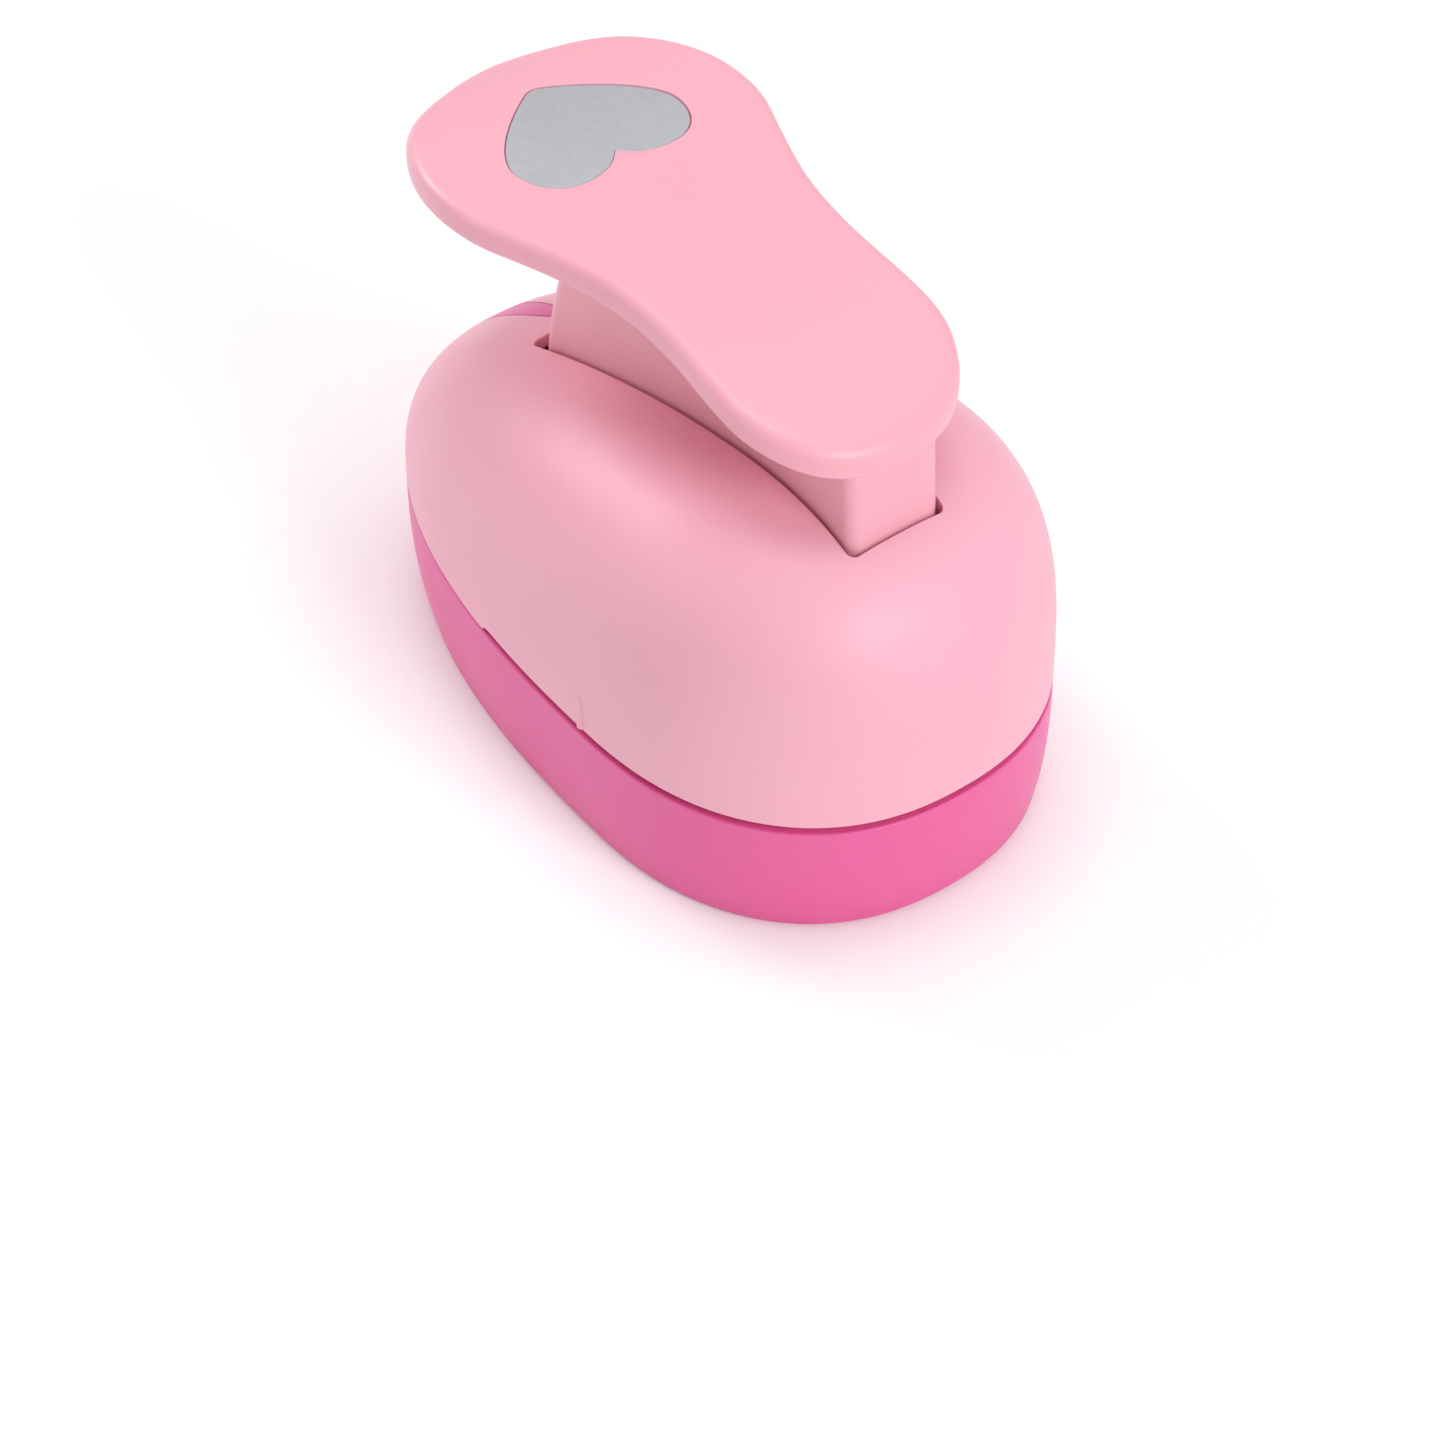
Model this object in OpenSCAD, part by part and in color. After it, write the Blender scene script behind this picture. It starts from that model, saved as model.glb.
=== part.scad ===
// Lever craft punch with a heart-shaped die.
// Millimetres. X runs from the palm end (-X) to the nose (+X), Y is across, Z is up from the table.

/* [Body outline] */
// Overall length of the body
body_length = 130; // [100:1:160]
// Overall width of the body
body_width = 79; // [60:1:100]
// Widest station, measured from the middle of the body
wide_x = 19; // [0:1:30]
// Squareness of the outline ahead of the widest station
front_n = 2.27; // [1.8:0.01:3.5]
// Squareness of the outline behind the widest station
rear_n = 2.34; // [1.8:0.01:3.5]
// Height of the body over its middle
crown_z = 65; // [50:0.5:80]
// Squareness of the body in section
crown_n = 2.72; // [2:0.01:4]
// How far the foot draws in under the body
foot_inset = 1.95; // [0:0.05:6]
// Moulded wall thickness
wall = 2.5; // [1.5:0.1:4]

/* [Paper slot and parting line] */
// Height of the paper above the table
paper_z = 22.6; // [18:0.1:23.5]
// Height of the paper slot
slot_gap = 1.4; // [1:0.1:2]
// Where the paper stops
slot_stop_x = -11.5; // [-16:0.1:-6]
// Height of the casing's tongue at the rear
tongue_top = 50.6; // [40:0.1:51]
// Half width of the tongue, halfway up
tongue_half = 3.8; // [2:0.1:8]
// Front end of the tongue
tongue_front_x = -41.5; // [-50:0.1:-40]
// Width of the groove along the parting line
parting_groove = 0.2; // [0.1:0.05:0.5]

/* [Heart die] */
// Width of the punched heart
heart_width = 50.8; // [20:0.1:60]
// Position of the heart's point
heart_tip_x = -5.3; // [-20:0.1:10]
// Thickness of the die plate and of the guide plate
die_plate_t = 3; // [2:0.1:5]
// Stroke of the punch
stroke = 6; // [4:0.1:8]
// Lift of the cutting face above the paper slot at rest
punch_lift = 0.6; // [0.2:0.1:2]

/* [Lever] */
// Position of the hinge pin
pivot_x = 46.9; // [35:0.1:55]
// Height of the hinge pin
pivot_z = 45; // [35:0.5:55]
// Diameter of the hinge pin
pin_d = 5; // [3:0.1:8]
// Width of the stem
stem_width = 17.6; // [10:0.1:25]
// Reach of the stem's rear face from the hinge pin
stem_reach = 80.5; // [60:0.5:95]
// Thickness of the palm plate
plate_t = 4.8; // [3:0.1:7]
// Clearance beside the stem in the body's slot
stem_gap = 0.55; // [0.3:0.05:2]
// Front end of the body's slot
slot_front_x = 47.7; // [40:0.1:55]
// Rear end of the body's slot
slot_rear_x = -35.8; // [-45:0.1:-30]

/* [Heart badge] */
// Width of the badge
badge_width = 31.8; // [10:0.1:40]
// Position of the badge's point
badge_tip_x = -46.8; // [-50:0.1:-20]
// Thickness of the badge
badge_t = 1; // [0.5:0.1:2]

/* [Springs and posts] */
// Diameter of a guide post
post_d = 4; // [3:0.1:6]
// Mean diameter of a return spring
spring_d = 8; // [6:0.1:12]
// Wire diameter of a return spring
wire_d = 0.8; // [0.5:0.1:1.5]
// Turns in a return spring
spring_turns = 4.5; // [3:0.5:8]

/* [Hidden] */
$fn = 48;
rim_z = paper_z + slot_gap;
shoulder_z = 26;
foot_top = 24;
front_reach = body_length / 2 - wide_x;
rear_reach = body_length / 2 + wide_x;
half_width = body_width / 2;
deck_z = paper_z - 5;
floor_t = wall;
bulkhead_x = -31;
guide_top = rim_z + die_plate_t;
heart_scale = heart_width / 50.8;
heart_mid_x = heart_tip_x + 21.1 * heart_scale;
fit_scale = 1.004;
press_r = 2.5;
press_gap = 0.15;
pad_t = 3;
pad_top = pivot_z + stroke / 2 - press_r - press_gap;
punch_plate_top = pad_top - pad_t;
punch_plate_z = punch_plate_top - 3;
punch_z = rim_z + punch_lift;
plate_box = [-28, 43, 31.5, 6];
ear_gap = 0.6;
stack_points = [[-21, 15], [-21, -15], [-21, 25], [-21, -25]];
die_points = [[38, 25.5], [38, -25.5], [-10, 25.5], [-10, -25.5]];
guide_points = [[38, 25.5], [38, -25.5]];
case_points = [[-38, 15], [-38, -15]];
post_points = [[-4, 19], [-4, -19]];
punch_points = [[4, 0], [27, 0]];
case_head_z = 14;
pink = [0.99, 0.71, 0.79];
magenta = [0.93, 0.38, 0.64];
steel = [0.75, 0.76, 0.78];

// ---------- body surface ----------

// Plan outline of the body at angle a, with the wall moved in by t
function plan_n(a) = cos(a) > 0 ? front_n : rear_n;
function plan_reach(a) = cos(a) > 0 ? front_reach : rear_reach;
function signed_pow(v, p) = sign(v) * pow(abs(v), p);
function plan_point(a, t) = [
  (plan_reach(a) - t) * signed_pow(cos(a), 2 / plan_n(a)),
  (half_width - t) * signed_pow(sin(a), 2 / plan_n(a))
];

// Height of the crown and squareness of the section along the body
function crown(x) = let(v = x / 50) crown_z + 9.66 * v - 1.31 * v * v - 4.7 * v * v * v;
function section_n(x) = crown_n + 0.6 * x / 50;

// Outline scale between the table and the top of the foot
function foot_scale(z) = 1 - foot_inset / 45 * pow(1 - z / foot_top, 3);

// One ring of the dome: rho is 1 at the shoulder and 0 at the pole
function dome_z(x, rho, t) =
  shoulder_z + (crown(x) - t - shoulder_z) * pow(1 - pow(rho, section_n(x)), 1 / section_n(x));
function foot_ring(z, t, n) = [
  for (i = [0 : n - 1])
    let(p = plan_point(360 * i / n, t), s = foot_scale(z))
      [wide_x + s * p[0], s * p[1], z]
];
function dome_ring(rho, t, n) = [
  for (i = [0 : n - 1])
    let(p = plan_point(360 * i / n, t), x = wide_x + rho * p[0])
      [x, rho * p[1], dome_z(x, rho, t)]
];

// Faces between stacked rings of n points, with a flat bottom and a pole on top
function ring_faces(n, rings) = concat(
  [[for (i = [0 : n - 1]) i]],
  [for (k = [0 : rings - 2], i = [0 : n - 1]) let(j = (i + 1) % n) [k * n + i, (k + 1) * n + i, (k + 1) * n + j]],
  [for (k = [0 : rings - 2], i = [0 : n - 1]) let(j = (i + 1) % n) [k * n + i, (k + 1) * n + j, k * n + j]],
  [for (i = [0 : n - 1]) [(rings - 1) * n + i, rings * n, (rings - 1) * n + (i + 1) % n]]
);

// The body as a solid, its surface moved in by t and starting at height z0
module body_form(t, z0, n, foot_steps, dome_steps) {
  foot_rings = [for (k = [0 : foot_steps - 1]) foot_ring(z0 + (foot_top - z0) * k / (foot_steps - 1), t, n)];
  dome_rings = [for (k = [0 : dome_steps - 1]) dome_ring(pow(cos(90 * k / dome_steps), 2 / 2.8), t, n)];
  rings = concat(foot_rings, dome_rings);
  pole = [wide_x, 0, crown(wide_x) - t];
  points = concat([for (r = rings) each r], [pole]);
  polyhedron(points, ring_faces(n, len(rings)), convexity = 6);
}

// A slab across the body with its side view given as points in XZ
module side_slab(points, width) {
  rotate([90, 0, 0]) linear_extrude(height = width, center = true) polygon(points);
}

// The casing's tongue: a rounded arch seen from behind, grown all round by g
tongue_steps = 28;
function tongue_z(y, g) = paper_z + g + (tongue_top - paper_z) / (1 + pow(max(0, abs(y) - g) / tongue_half, 4));
module tongue_form(g) {
  arch = [for (i = [0 : tongue_steps]) let(y = i - tongue_steps / 2) [y, tongue_z(y, g)]];
  translate([-far_x, 0, 0]) rotate([90, 0, 90]) linear_extrude(height = far_x + tongue_front_x + g)
    polygon(concat(arch, [[tongue_steps / 2, 0], [-tongue_steps / 2, 0]]));
}

// Everything below or above the parting line
far_x = 80;
module below_parting() {
  translate([-far_x, -50, -1]) cube([2 * far_x, 100, 1 + paper_z]);
  tongue_form(0);
}
module above_parting() {
  difference() {
    side_slab([
      [-far_x, paper_z + parting_groove], [slot_stop_x, paper_z + parting_groove],
      [slot_stop_x, rim_z], [far_x, rim_z], [far_x, 100], [-far_x, 100]
    ], 100);
    tongue_form(parting_groove);
  }
}

// ---------- shared small shapes ----------

module at(points, z) {
  for (p = points) translate([p[0], p[1], z]) children();
}

module rounded_slab(x0, x1, half_y, r, z0, z1) {
  translate([0, 0, z0]) linear_extrude(height = z1 - z0) union() {
    translate([x0 + r, -half_y]) square([x1 - x0 - 2 * r, 2 * half_y]);
    translate([x0, -half_y + r]) square([x1 - x0, 2 * half_y - 2 * r]);
    for (x = [x0 + r, x1 - r], y = [-half_y + r, half_y - r]) translate([x, y]) circle(r);
  }
}

// Pan-head screw with a cross recess, head down, thread upwards from z = 0
module screw(d, length, head_d, head_h) {
  difference() {
    union() {
      cylinder(h = length - d / 2, d = d);
      translate([0, 0, length - d / 2]) cylinder(h = d / 2, d1 = d, d2 = d / 3);
      translate([0, 0, -head_h]) cylinder(h = head_h, d1 = head_d - 0.8, d2 = head_d);
    }
    for (a = [0, 90])
      rotate([0, 0, a]) translate([-head_d * 0.28, -0.35, -head_h - 1]) cube([head_d * 0.56, 0.7, 1 + head_h * 0.55]);
  }
}

// ---------- heart ----------

function bezier(p, t) = let(u = 1 - t)
  u * u * u * p[0] + 3 * u * u * t * p[1] + 3 * u * t * t * p[2] + t * t * t * p[3];

// Half of a 50.8 mm wide heart from the notch round the lobe to the point, its point at the origin
heart_curves = [
  [[36, 0], [38.8, 2.5], [42.2, 5], [42.2, 13]],
  [[42.2, 13], [42.2, 20.9], [36, 25.4], [28.4, 25.4]],
  [[28.4, 25.4], [18.1, 25.4], [4.2, 7.5], [0.5, 1.7]]
];
heart_steps = 8;
heart_half = concat(
  [for (c = heart_curves, i = [0 : heart_steps - 1]) bezier(c, i / heart_steps)],
  [heart_curves[2][3]]
);
heart_points = concat(
  heart_half,
  [[0, 0]],
  [for (i = [len(heart_half) - 1 : -1 : 1]) [heart_half[i][0], -heart_half[i][1]]]
);

// A heart prism between two heights, its outline scaled about its middle by fit
module heart_slab(tip_x, size, fit, z0, z1) {
  mid = 21.1 * size;
  translate([tip_x + mid, 0, z0]) linear_extrude(height = z1 - z0)
    scale(size * fit) translate([-21.1, 0]) polygon(heart_points);
}

// ---------- shells ----------

module ear_blocks() {
  for (s = [-1, 1])
    translate([40, s * (stem_width / 2 + ear_gap + 2) - 2, 20]) cube([14, 4, 50]);
}

module housing_bosses() {
  at(stack_points, 20) cylinder(h = 50, r = 4);
  at(guide_points, 20) cylinder(h = 50, r = 4);
  at(case_points, 20) cylinder(h = 50, r = 4);
}

module stem_slot() {
  translate([slot_rear_x, -stem_width / 2 - stem_gap, rim_z + 4])
    cube([slot_front_x - slot_rear_x, stem_width + 2 * stem_gap, 60]);
}

module alignment_ribs() {
  for (s = [-1, 1])
    translate([17.5, s * (half_width - 0.4), rim_z]) cylinder(h = 7, d = 1.6, $fn = 24);
}

module top_housing() {
  color(pink) difference() {
    intersection() {
      body_form(0, 0, 72, 4, 14);
      above_parting();
    }
    difference() {
      body_form(wall, floor_t, 48, 3, 9);
      ear_blocks();
      housing_bosses();
    }
    rounded_slab(plate_box[0] - 0.4, plate_box[1] + 0.4, plate_box[2] + 0.3, 6, paper_z, guide_top);
    translate([39, -15, rim_z]) cube([16, 30, 12]);
    stem_slot();
    at(concat(stack_points, guide_points), guide_top - 1) cylinder(h = 8, d = 3);
    at(case_points, paper_z - 1) cylinder(h = 12, d = 3);
    translate([pivot_x, 0, pivot_z]) rotate([90, 0, 0]) cylinder(h = 40, d = pin_d + 0.04, center = true);
  }
  color(pink) alignment_ribs();
}

module lower_casing() {
  color(magenta) difference() {
    intersection() {
      body_form(0, 0, 72, 4, 14);
      below_parting();
    }
    difference() {
      body_form(wall, -1, 48, 3, 9);
      translate([-100, -50, -2]) cube([100 + bulkhead_x, 100, 2 + floor_t]);
      translate([bulkhead_x, -50, -2]) cube([2, 100, 2 + paper_z]);
      translate([bulkhead_x + 2, -50, deck_z]) cube([100, 100, 10]);
      at(case_points, 0) cylinder(h = paper_z, r = 4.5);
    }
    difference() {
      rounded_slab(-26, 40.5, 29.3, 6, deck_z - 1, paper_z);
      at(die_points, deck_z) cylinder(h = 10, r = 4.8);
    }
    rounded_slab(-28.2, 43.2, 31.7, 6, paper_z - die_plate_t, paper_z + 1);
    at(die_points, 0) cylinder(h = 30, d = 3.4);
    at(case_points, -1) cylinder(h = case_head_z + 1, d = 6.4);
    at(case_points, 0) cylinder(h = 60, d = 3.4);
  }
}

// ---------- die set ----------

module die_plate() {
  color(steel) difference() {
    rounded_slab(plate_box[0], plate_box[1], plate_box[2], plate_box[3], paper_z - die_plate_t, paper_z);
    heart_slab(heart_tip_x, heart_scale, fit_scale, paper_z - 10, paper_z + 1);
    at(stack_points, 0) cylinder(h = 40, d = 3.1);
    at(die_points, 0) cylinder(h = 40, d = 3);
  }
}

module spacer_plate() {
  color(steel) difference() {
    rounded_slab(plate_box[0], slot_stop_x, plate_box[2], 2, paper_z, rim_z);
    at(stack_points, 0) cylinder(h = 40, d = 3.1);
  }
}

module guide_plate() {
  color(steel) difference() {
    rounded_slab(plate_box[0], plate_box[1], plate_box[2], plate_box[3], rim_z, guide_top);
    heart_slab(heart_tip_x, heart_scale, fit_scale, rim_z - 1, guide_top + 1);
    at(stack_points, 0) cylinder(h = 40, d = 3.1);
    at(post_points, 0) cylinder(h = 40, d = post_d);
    at(guide_points, 0) cylinder(h = 40, d = 3.1);
    at(guide_points, rim_z - 0.01) cylinder(h = 1.61, d1 = 6.2, d2 = 3.1);
  }
}

module stack_screws() {
  color(steel) at(stack_points, paper_z - die_plate_t) screw(3, 14, 5.5, 1.9);
}

module die_screws() {
  color(steel) at(die_points, deck_z) screw(3, 4.8, 5.5, 1.9);
}

// Countersunk screws, flush with the underside of the guide plate
module guide_screws() {
  color(steel) at(guide_points, rim_z) difference() {
    union() {
      cylinder(h = 1.55, d1 = 6, d2 = 3);
      cylinder(h = 9, d = 3);
    }
    for (a = [0, 90]) rotate([0, 0, a]) translate([-1.6, -0.35, -1]) cube([3.2, 0.7, 1.9]);
  }
}

module case_screws() {
  color(steel) at(case_points, case_head_z) screw(3, 18, 5.5, 1.9);
}

module guide_posts() {
  color(steel) at(post_points, rim_z) union() {
    cylinder(h = 23, d = post_d);
    translate([0, 0, 23]) cylinder(h = 1, d1 = post_d, d2 = post_d - 1.6);
  }
}

// ---------- return springs ----------

spring_z0 = guide_top + wire_d / 2 + 0.05;
spring_z1 = punch_plate_z - wire_d / 2 - 0.05;
coil_steps = 18;
coil_sides = 8;

// Height of the wire at turn t, with a closed turn at each end
function coil_z(t) =
  let(free = spring_turns - 2, pitch = wire_d * 1.05, rise = spring_z1 - spring_z0 - 2 * pitch)
  t < 1 ? t * pitch : t > spring_turns - 1 ? rise + pitch + (t - spring_turns + 1) * pitch : pitch + rise * (t - 1) / free;
function coil_point(t, b) =
  let(r = spring_d / 2 + wire_d / 2 * cos(b)) [r * cos(360 * t), r * sin(360 * t), coil_z(t) + wire_d / 2 * sin(b)];

module return_spring(side) {
  steps = spring_turns * coil_steps;
  m = coil_sides;
  points = [for (k = [0 : steps], s = [0 : m - 1]) coil_point(k / coil_steps, 360 * s / m)];
  skin = [for (k = [0 : steps - 1], s = [0 : m - 1]) let(a = k * m + s, b = k * m + (s + 1) % m) [a, a + m, b + m]];
  skin2 = [for (k = [0 : steps - 1], s = [0 : m - 1]) let(a = k * m + s, b = k * m + (s + 1) % m) [a, b + m, b]];
  ends = [[for (s = [0 : m - 1]) s], [for (s = [m - 1 : -1 : 0]) steps * m + s]];
  color([0.55, 0.57, 0.6])
    translate([post_points[0][0], side * post_points[0][1], spring_z0])
      polyhedron(points, concat(skin, skin2, ends), convexity = 6);
}

module return_spring_left() {
  return_spring(1);
}

module return_spring_right() {
  return_spring(-1);
}

// ---------- punch ----------

module punch_die() {
  color([0.8, 0.8, 0.82]) difference() {
    heart_slab(heart_tip_x, heart_scale, 1, punch_z, punch_plate_z);
    difference() {
      heart_slab(heart_tip_x, heart_scale, 0.8, punch_z + 4, punch_plate_z + 1);
      at(punch_points, punch_z) cylinder(h = 20, r = 3.5);
    }
    at(punch_points, punch_plate_z - 6) cylinder(h = 7, d = 3);
  }
}

module punch_plate() {
  color(steel) difference() {
    union() {
      rounded_slab(-10, 33, 23, 5, punch_plate_z, punch_plate_top);
      translate([heart_mid_x - 5, -5.5, punch_plate_z]) cube([10, 11, pad_top - punch_plate_z]);
    }
    at(post_points, 0) cylinder(h = 60, d = post_d + 0.16);
    at(punch_points, 0) cylinder(h = 60, d = 3.1);
  }
}

module punch_screws() {
  color(steel) at(punch_points, punch_plate_top) mirror([0, 0, 1]) screw(3, 8.6, 5.2, 1.7);
}

// ---------- lever ----------

// Top of the palm plate along the lever
function arch(x) = let(v = x / 50)
  94.7 - 2.83 * v - 3.87 * v * v - 1.5 * v * v * v - 2.5 * v * v * v * v;

// Half outline of the palm plate, from the palm end to the nose end
plate_half = [
  [-60.2, 0], [-56.9, 12.6], [-52, 20.6], [-43.5, 26], [-33.9, 28.7], [-23, 28.3], [-12.5, 24.5],
  [-1.5, 21], [8.3, 19.7], [16.9, 19.7], [26, 20.3], [34.5, 19.9], [42.5, 15.7], [46.8, 9.4], [48.5, 0]
];
plate_loop = concat(
  plate_half,
  [for (i = [len(plate_half) - 2 : -1 : 1]) [plate_half[i][0], -plate_half[i][1]]]
);
loop_steps = 3;

// Smooth closed curve through the loop's points
function knot(i) = plate_loop[(i + len(plate_loop)) % len(plate_loop)];
function smooth(i, t) = let(a = knot(i - 1), b = knot(i), c = knot(i + 1), d = knot(i + 2))
  b + 0.5 * t * (c - a + t * (2 * a - 5 * b + 4 * c - d + t * (3 * b - a - 3 * c + d)));
outline = [for (i = [0 : len(plate_loop) - 1], k = [0 : loop_steps - 1]) smooth(i, k / loop_steps)];
outline_n = len(outline);
function outline_normal(i) =
  let(d = outline[(i + 1) % outline_n] - outline[(i + outline_n - 1) % outline_n]) [-d[1], d[0]] / norm(d);

// Rings of the palm plate's rounded edge: how far in, and how far below the top
edge_rings = [[0.6, plate_t], [0, plate_t - 0.6], [0, 2], [0.25, 1.1], [0.9, 0.35], [2, 0]];
function edge_ring(r) = [
  for (i = [0 : outline_n - 1])
    let(p = outline[i] - r[0] * outline_normal(i)) [p[0], p[1], arch(p[0]) - r[1]]
];

module palm_plate() {
  n = outline_n;
  h = n / 2;
  last = (len(edge_rings) - 1) * n;
  points = [for (r = edge_rings) each edge_ring(r)];
  // the outline runs clockwise seen from above
  under = [for (i = [0 : h - 1]) i == 0 ? [0, n - 1, 1] : i == h - 1 ? [i, n - i, h] : [i, n - i, n - i - 1, i + 1]];
  over = [for (i = [0 : h - 1]) i == 0 ? [last, last + 1, last + n - 1]
    : i == h - 1 ? [last + i, last + h, last + n - i] : [last + i, last + i + 1, last + n - i - 1, last + n - i]];
  skirt = [for (k = [0 : len(edge_rings) - 2], i = [0 : n - 1]) let(j = (i + 1) % n) [k * n + i, (k + 1) * n + j, (k + 1) * n + i]];
  skirt2 = [for (k = [0 : len(edge_rings) - 2], i = [0 : n - 1]) let(j = (i + 1) % n) [k * n + i, k * n + j, (k + 1) * n + j]];
  polyhedron(points, concat(under, over, skirt, skirt2), convexity = 6);
}

// Side view of the stem, open along its underside
stem_side = [
  [-36, 46], [-17, 46], [-14, 51], [10, 44.4], [40, 44.4], [pivot_x + 5.5, pivot_z],
  [50.2, 52], [47.2, 58], [47.2, 66], [46.4, 82], [20, 89], [-20, 91], [-36, 91]
];

module stem() {
  inner = stem_width / 2 - wall;
  difference() {
    union() {
      intersection() {
        side_slab(stem_side, stem_width);
        translate([pivot_x, 0, pivot_z]) rotate([90, 0, 0]) cylinder(h = 40, r = stem_reach, center = true);
      }
      translate([pivot_x, 0, pivot_z]) rotate([90, 0, 0]) cylinder(h = stem_width, r = 6, center = true);
      for (s = [-1, 1])
        translate([-31, s * (stem_width / 2 + 1) - 1.2, 47.6]) cube([4, 2.4, 3]);
    }
    intersection() {
      translate([-40, -inner, 40]) cube([80, 2 * inner, 45]);
      translate([pivot_x, 0, pivot_z]) rotate([90, 0, 0]) cylinder(h = 40, r = stem_reach - wall, center = true);
    }
    translate([pivot_x, 0, pivot_z]) rotate([90, 0, 0]) cylinder(h = 40, d = pin_d + 0.12, center = true);
    translate([heart_mid_x, 0, pivot_z + stroke / 2]) rotate([90, 0, 0])
      cylinder(h = 40, r = press_r, center = true);
  }
}

// A band following the palm plate's arch, z0 to z1 below its top
module arch_band(z0, z1) {
  xs = [for (x = [-50 : 3 : -14]) x];
  side_slab(concat(
    [for (x = xs) [x, arch(x) - z0]],
    [for (i = [len(xs) - 1 : -1 : 0]) [xs[i], arch(xs[i]) - z1]]
  ), 60);
}

module lever() {
  color(pink) difference() {
    union() {
      palm_plate();
      stem();
    }
    intersection() {
      heart_slab(badge_tip_x, badge_width / 50.8, 1.01, 80, 100);
      arch_band(-1, badge_t + 0.2);
    }
  }
}

module heart_badge() {
  color([0.74, 0.76, 0.78]) intersection() {
    heart_slab(badge_tip_x, badge_width / 50.8, 1, 80, 100);
    arch_band(0.2, badge_t + 0.2);
  }
}

module press_pin() {
  color(steel) translate([heart_mid_x, 0, pivot_z + stroke / 2]) rotate([90, 0, 0])
    cylinder(h = stem_width - 0.4, r = press_r, center = true);
}

module hinge_pin() {
  color(steel) translate([pivot_x, 0, pivot_z]) rotate([90, 0, 0])
    cylinder(h = stem_width + 2 * ear_gap + 8, d = pin_d, center = true);
}

top_housing();
lower_casing();
die_plate();
spacer_plate();
guide_plate();
stack_screws();
die_screws();
guide_screws();
case_screws();
guide_posts();
return_spring_left();
return_spring_right();
punch_die();
punch_plate();
punch_screws();
hinge_pin();
press_pin();
lever();
heart_badge();
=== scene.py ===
"""Looks of a lever craft punch with a heart die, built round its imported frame.

Shapes are worked out in millimetres and turned into metres when a mesh is made.
X runs from the palm end to the nose, Y is across and Z is up from the table.
"""

import math

import bmesh
import bpy
import numpy as np
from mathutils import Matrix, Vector


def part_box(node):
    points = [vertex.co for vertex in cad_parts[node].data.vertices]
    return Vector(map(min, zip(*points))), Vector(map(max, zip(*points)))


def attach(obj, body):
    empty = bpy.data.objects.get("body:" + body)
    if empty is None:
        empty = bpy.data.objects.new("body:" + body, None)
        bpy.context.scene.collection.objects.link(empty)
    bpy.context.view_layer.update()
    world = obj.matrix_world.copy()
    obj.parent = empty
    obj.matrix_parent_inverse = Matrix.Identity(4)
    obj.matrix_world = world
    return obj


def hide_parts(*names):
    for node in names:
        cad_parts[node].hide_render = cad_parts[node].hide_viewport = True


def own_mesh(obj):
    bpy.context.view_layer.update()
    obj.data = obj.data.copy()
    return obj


MM = 0.001
EDGE = "edge_turn"

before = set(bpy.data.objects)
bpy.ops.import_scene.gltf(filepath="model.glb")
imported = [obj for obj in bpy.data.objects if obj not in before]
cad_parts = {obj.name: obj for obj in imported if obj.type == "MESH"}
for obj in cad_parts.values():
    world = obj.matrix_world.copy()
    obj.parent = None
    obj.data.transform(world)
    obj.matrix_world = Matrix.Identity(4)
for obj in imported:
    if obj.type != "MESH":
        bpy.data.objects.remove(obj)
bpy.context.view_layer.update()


def box_mm(node):
    """A frame node's box in millimetres."""
    low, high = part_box(node)
    return np.array(low) / MM, np.array(high) / MM


# ---------- sizes from the frame ----------

casing_low, casing_high = box_mm("lower_casing")
die_low, die_high = box_mm("die_plate")
spacer_low, spacer_high = box_mm("spacer_plate")
badge_low, badge_high = box_mm("heart_badge")
spring_low, spring_high = box_mm("return_spring_left")
press_low, press_high = box_mm("press_pin")
hinge_low, hinge_high = box_mm("hinge_pin")

WIDE_OFFSET = 19
PRESS_PIN_SHORTER_BY = 0.4
BODY_MIDDLE = (casing_low[0] + casing_high[0]) / 2
WIDE_X = BODY_MIDDLE + WIDE_OFFSET
FRONT_REACH = casing_high[0] - WIDE_X
REAR_REACH = WIDE_X - casing_low[0]
HALF_WIDTH = casing_high[1]
PAPER_Z = spacer_low[2]
RIM_Z = spacer_high[2]
SLOT_STOP_X = spacer_high[0]
PIVOT_X = (hinge_low[0] + hinge_high[0]) / 2
PIVOT_Z = (hinge_low[2] + hinge_high[2]) / 2
STEM_HALF = (press_high[1] - press_low[1] + PRESS_PIN_SHORTER_BY) / 2

# ---------- shape of the mouldings ----------

FRONT_N = 2.27
REAR_N = 2.34
WALL = 2.5
FOOT_INSET = 1.95 / 45
SHOULDER_Z = 26
FOOT_TOP = 24
TONGUE_TOP = 50.6
TONGUE_HALF = 3.8
TONGUE_FRONT_X = -41.5
PARTING_GROOVE = 0.2
SLOT_REAR_X = -35.8
SLOT_FRONT_X = 47.7
STEM_GAP = 0.55
SLOT_HALF = STEM_HALF + STEM_GAP
SLOT_CORNER = 1.5
SLOT_EDGE = 0.35
RIM_EDGE = 0.4
FOOT_EDGE = 0.7
INNER_EDGE = 0.3
ARCH_LENGTH = 3.2
BODY_COLUMNS = 300
DOME_STEPS = 500
PLATE_T = 4.8
PLATE_FILLET = 2.1
BADGE_DROP = 0.2
BADGE_T = 1.0
STEM_REACH = 80.5
STEM_CORNER = 2.3
DECK_Z = PAPER_Z - 5
BULKHEAD_X = -31
STACK_POINTS = [(-21, 15), (-21, -15), (-21, 25), (-21, -25)]
GUIDE_POINTS = [(38, 25.5), (38, -25.5)]
LUG_POINTS = [(38, 25.5), (38, -25.5), (-10, 25.5), (-10, -25.5)]
CASE_POINTS = [(-38, 15), (-38, -15)]
CASE_HEAD_Z = 14
LUG_HOLE = 1.7
COLUMN_BORE = 3.2
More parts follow.
